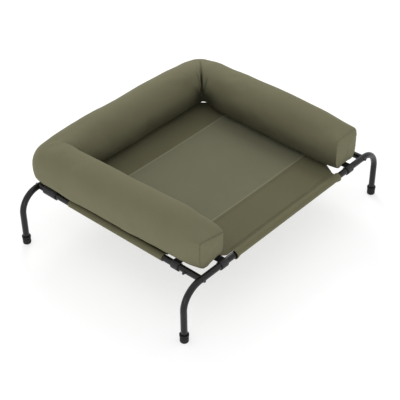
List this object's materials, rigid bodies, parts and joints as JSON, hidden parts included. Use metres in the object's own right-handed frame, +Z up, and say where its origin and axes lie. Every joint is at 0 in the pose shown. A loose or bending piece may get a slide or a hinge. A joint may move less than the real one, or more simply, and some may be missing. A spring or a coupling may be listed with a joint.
{
  "type": "raised dog cot",
  "caption": "Raised pet cot: a bent steel tube frame on rubber feet, a stretched cloth and mesh bed on its rails, and a padded U-shaped bolster that lifts off.",
  "frame": {"origin": "centre of the whole part's footprint, on the floor under the feet", "axes": "+Z up; +X along the open front rail, to the right for someone facing the open side; -Y out of the open front"},
  "size_m": [1.052, 0.806, 0.3744],
  "materials": {
    "frame_steel": "satin black powder coat",
    "bolt_black": "black oxide",
    "insert_nylon": "moulded",
    "foot_rubber": "moulded, matt",
    "cloth_olive": "plain woven",
    "mesh_olive": "open mesh",
    "strap_webbing": "woven webbing",
    "fill_fibre": "loose fibre",
    "zip_tape": "woven tape",
    "zip_metal": "plated"
  },
  "bodies": {
    "frame": {"leg_front_left": "frame_steel", "leg_front_right": "frame_steel", "leg_back_left": "frame_steel", "leg_back_right": "frame_steel", "foot_front_left": "foot_rubber", "foot_front_right": "foot_rubber", "foot_back_left": "foot_rubber", "foot_back_right": "foot_rubber", "front_rail": "frame_steel", "back_rail": "frame_steel", "left_rail": "frame_steel", "right_rail": "frame_steel", "corner_bolts": "bolt_black", "rail_inserts": "insert_nylon", "insert_screws": "bolt_black", "front_strip": "cloth_olive", "back_strip": "cloth_olive", "left_sleeve": "cloth_olive", "right_sleeve": "cloth_olive", "mesh_panel": "mesh_olive", "strap_front_left": "strap_webbing", "strap_front_right": "strap_webbing", "strap_left_front": "strap_webbing", "strap_left_back": "strap_webbing", "strap_right_front": "strap_webbing", "strap_right_back": "strap_webbing", "strap_back_left": "strap_webbing", "strap_back_right": "strap_webbing"},
    "bolster": {"bolster_left": "cloth_olive", "bolster_back": "cloth_olive", "bolster_right": "cloth_olive", "end_panel_left": "cloth_olive", "end_panel_right": "cloth_olive", "fill_left": "fill_fibre", "fill_back": "fill_fibre", "fill_right": "fill_fibre", "strap_pads": "strap_webbing", "zip_tape": "zip_tape"},
    "zip_slider": {"zip_slider": "zip_metal"},
    "zip_pull": {"zip_pull": "zip_metal"}
  },
  "joints": [
    {"name": "bolster_lift", "type": "slide", "parent": "frame", "child": "bolster", "axis": [0, 0, 1], "range_m": [0, 0.25]},
    {"name": "zip_slide", "type": "slide", "parent": "bolster", "child": "zip_slider", "axis": [-1, 0, 0], "range_m": [0, 0.47]},
    {"name": "zip_pull_swing", "type": "hinge", "parent": "zip_slider", "child": "zip_pull", "pos_m": [0.238, 0.40267, 0.23746], "axis": [1, 0, 0], "range_deg": [-10, 150]}
  ]
}
